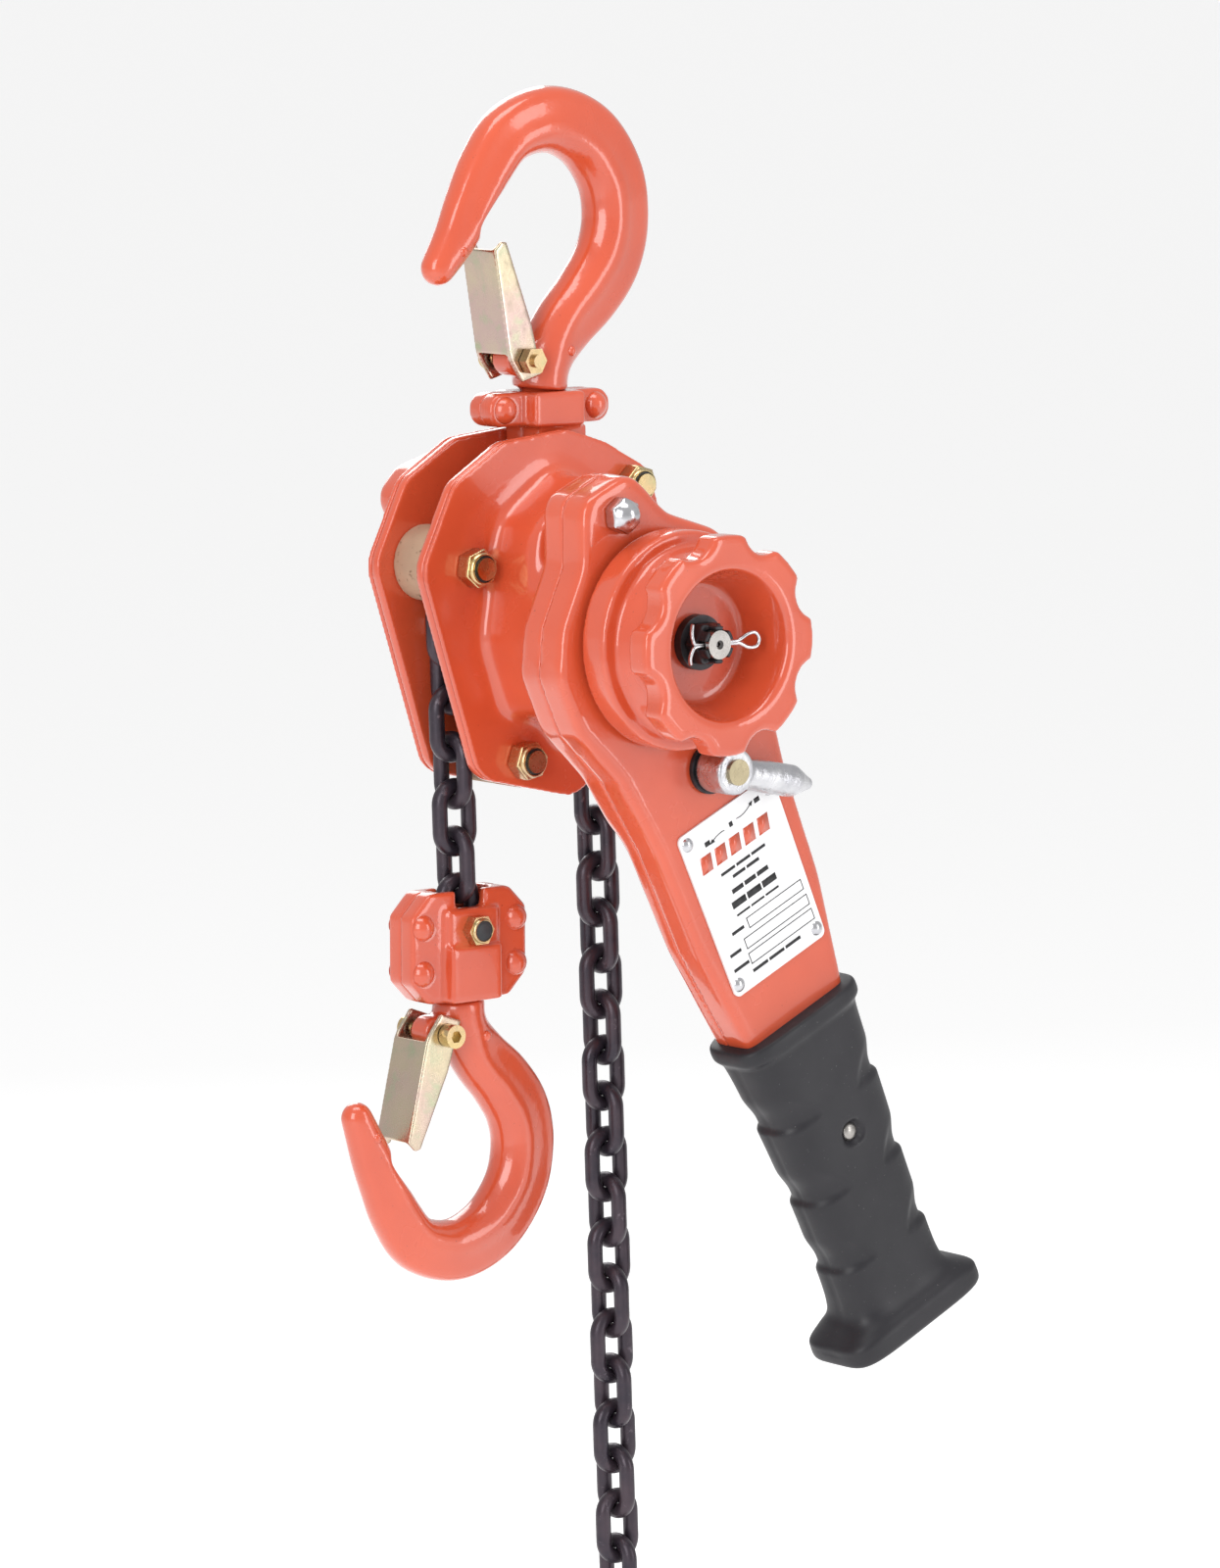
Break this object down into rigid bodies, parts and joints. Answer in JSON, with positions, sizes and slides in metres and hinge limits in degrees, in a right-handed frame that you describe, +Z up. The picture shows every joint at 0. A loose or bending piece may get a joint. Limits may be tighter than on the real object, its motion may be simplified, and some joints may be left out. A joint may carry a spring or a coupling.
{
  "type": "lever chain hoist",
  "caption": "Hand lever hoist with a top hook, a geared load sheave, a handwheel, a long gripped lever and a load hook on a link chain.",
  "frame": {"origin": "the saddle of the top hook, the middle of the inner top of its bowl", "axes": "+Z up along the top hook's shank, -Y towards the handwheel, +X to the right seen from the handwheel"},
  "size_m": [0.232, 0.1526, 0.6129],
  "materials": {
    "black_chain": "satin black oxide",
    "black_steel": "black oxide",
    "brass": "machined",
    "bright_zinc": "bright zinc plate",
    "friction": "matt",
    "orange_enamel": "gloss",
    "plain_steel": "machined",
    "plate_white": "satin white",
    "rubber_grip": "satin",
    "tan_sleeve": "yellow zinc plate, matte",
    "yellow_zinc": "yellow zinc plate"
  },
  "bodies": {
    "top_hook": {"top_hook": "orange_enamel", "top_latch_screw": "yellow_zinc", "top_latch_spring": "bright_zinc"},
    "top_latch": {"top_latch": "yellow_zinc"},
    "top_yoke": {"top_yoke_front": "orange_enamel", "top_yoke_rear": "orange_enamel", "top_yoke_rivets": "orange_enamel"},
    "frame": {"front_side_plate": "orange_enamel", "rear_side_plate": "orange_enamel", "brake_cover": "orange_enamel", "gear_cover": "orange_enamel", "stay_bolts": "bright_zinc", "stay_nuts": "yellow_zinc", "stay_sleeve": "tan_sleeve", "stay_spacers": "tan_sleeve", "top_pin": "plain_steel", "chain_guide": "plain_steel", "chain_stripper": "plain_steel", "sheave_bearings": "brass", "ratchet_disc": "plain_steel", "pawl_pins": "plain_steel", "pawl_springs": "plain_steel", "chain_over_sheave": "black_chain"},
    "sheave": {"load_sheave": "plain_steel", "load_gear": "plain_steel", "load_gear_ring": "plain_steel"},
    "reduction_a": {"reduction_gear_a": "plain_steel"},
    "reduction_b": {"reduction_gear_b": "plain_steel"},
    "pinion": {"pinion_shaft": "plain_steel", "brake_hub": "plain_steel", "friction_discs": "friction", "stopper_washer": "black_steel", "castle_nut": "black_steel", "cotter_pin": "bright_zinc"},
    "handwheel": {"handwheel": "orange_enamel", "change_gear": "plain_steel"},
    "lever": {"lever_inner_shell": "orange_enamel", "lever_outer_shell": "orange_enamel", "lever_ear_bolt": "bright_zinc", "lever_cap_nut": "bright_zinc", "nameplate": "plate_white", "nameplate_rivets": "bright_zinc", "lever_grip": "rubber_grip", "selector_washer": "plain_steel"},
    "selector": {"selector_lever": "bright_zinc", "selector_rivet": "yellow_zinc"},
    "change_pawl": {"change_pawl": "plain_steel"},
    "pawl_upper": {"pawl_upper": "plain_steel"},
    "pawl_lower": {"pawl_lower": "plain_steel"},
    "load_chain": {"load_chain": "black_chain"},
    "bottom_block": {"block_front": "orange_enamel", "block_rear": "orange_enamel", "block_rivets": "orange_enamel", "chain_pin_bolt": "yellow_zinc"},
    "bottom_hook": {"bottom_hook": "orange_enamel", "bottom_latch_screw": "yellow_zinc", "bottom_latch_spring": "bright_zinc"},
    "bottom_latch": {"bottom_latch": "yellow_zinc"},
    "slack_chain": {"slack_chain": "black_chain", "stop_ring": "black_chain"}
  },
  "joints": [
    {"name": "top_latch_hinge", "type": "hinge", "parent": "top_hook", "child": "top_latch", "pos_m": [-0.0154, 0, -0.07205], "axis": [0, 1, 0], "range_deg": [0, 30], "stiffness_Nm_per_rad": 0.2},
    {"name": "top_swivel", "type": "hinge", "parent": "top_hook", "child": "top_yoke", "pos_m": [-0.003, 0, -0.08945], "axis": [0, 0, 1], "continuous": true},
    {"name": "frame_tilt", "type": "hinge", "parent": "top_yoke", "child": "frame", "pos_m": [0, 0, -0.11], "axis": [0, 1, 0], "range_deg": [-8, 8]},
    {"name": "pinion_spin", "type": "hinge", "parent": "frame", "child": "pinion", "pos_m": [-0.0125, 0, -0.1645], "axis": [0, 1, 0], "continuous": true},
    {"name": "sheave_spin", "type": "hinge", "parent": "frame", "child": "sheave", "pos_m": [-0.0125, 0, -0.1645], "axis": [0, 1, 0], "continuous": true},
    {"name": "reduction_a_spin", "type": "hinge", "parent": "frame", "child": "reduction_a", "pos_m": [-0.01632, 0.00003, -0.14283], "axis": [0, 1, 0], "continuous": true},
    {"name": "reduction_b_spin", "type": "hinge", "parent": "frame", "child": "reduction_b", "pos_m": [-0.00868, 0.00003, -0.18617], "axis": [0, 1, 0], "continuous": true},
    {"name": "brake_release", "type": "hinge", "parent": "pinion", "child": "handwheel", "pos_m": [-0.0125, 0, -0.1645], "axis": [0, 1, 0], "range_deg": [0, 60]},
    {"name": "lever_swing", "type": "hinge", "parent": "frame", "child": "lever", "pos_m": [-0.0125, -0.066, -0.1645], "axis": [0, 1, 0], "continuous": true},
    {"name": "selector_turn", "type": "hinge", "parent": "lever", "child": "selector", "pos_m": [0.00898, -0.086, -0.21186], "axis": [0, 1, 0], "range_deg": [0, 80]},
    {"name": "change_pawl_rock", "type": "hinge", "parent": "lever", "child": "change_pawl", "pos_m": [0.00898, -0.062, -0.21186], "axis": [0, -1, 0], "range_deg": [0, 7.3], "stiffness_Nm_per_rad": 0.1},
    {"name": "pawl_upper_lift", "type": "hinge", "parent": "frame", "child": "pawl_upper", "pos_m": [0.008, -0.026, -0.137], "axis": [0, 1, 0], "range_deg": [0, 12], "stiffness_Nm_per_rad": 0.05},
    {"name": "pawl_lower_lift", "type": "hinge", "parent": "frame", "child": "pawl_lower", "pos_m": [-0.0005, -0.026, -0.1965], "axis": [0, 1, 0], "range_deg": [0, 12], "stiffness_Nm_per_rad": 0.05},
    {"name": "load_chain_swing", "type": "hinge", "parent": "frame", "child": "load_chain", "pos_m": [-0.0435, 0, -0.20463], "axis": [0, 1, 0], "range_deg": [0, 8], "deforming": ["chain_over_sheave"]},
    {"name": "block_swing", "type": "hinge", "parent": "load_chain", "child": "bottom_block", "pos_m": [-0.04104, 0, -0.27178], "axis": [0, 1, 0], "range_deg": [-8, 8]},
    {"name": "bottom_swivel", "type": "hinge", "parent": "bottom_block", "child": "bottom_hook", "pos_m": [-0.04104, 0, -0.2975], "axis": [0, 0, 1], "continuous": true},
    {"name": "bottom_latch_hinge", "type": "hinge", "parent": "bottom_hook", "child": "bottom_latch", "pos_m": [-0.05354, 0, -0.3083], "axis": [0, -1, 0], "range_deg": [0, 30], "stiffness_Nm_per_rad": 0.2},
    {"name": "slack_chain_swing", "type": "hinge", "parent": "frame", "child": "slack_chain", "pos_m": [0.0222, 0, -0.22541], "axis": [0, 1, 0], "range_deg": [-8, 0]}
  ],
  "couplings": [
    {"joint": "sheave_spin", "follows": "pinion_spin", "ratio": 0.071429},
    {"joint": "reduction_a_spin", "follows": "pinion_spin", "ratio": -0.25},
    {"joint": "reduction_b_spin", "follows": "pinion_spin", "ratio": -0.25}
  ]
}
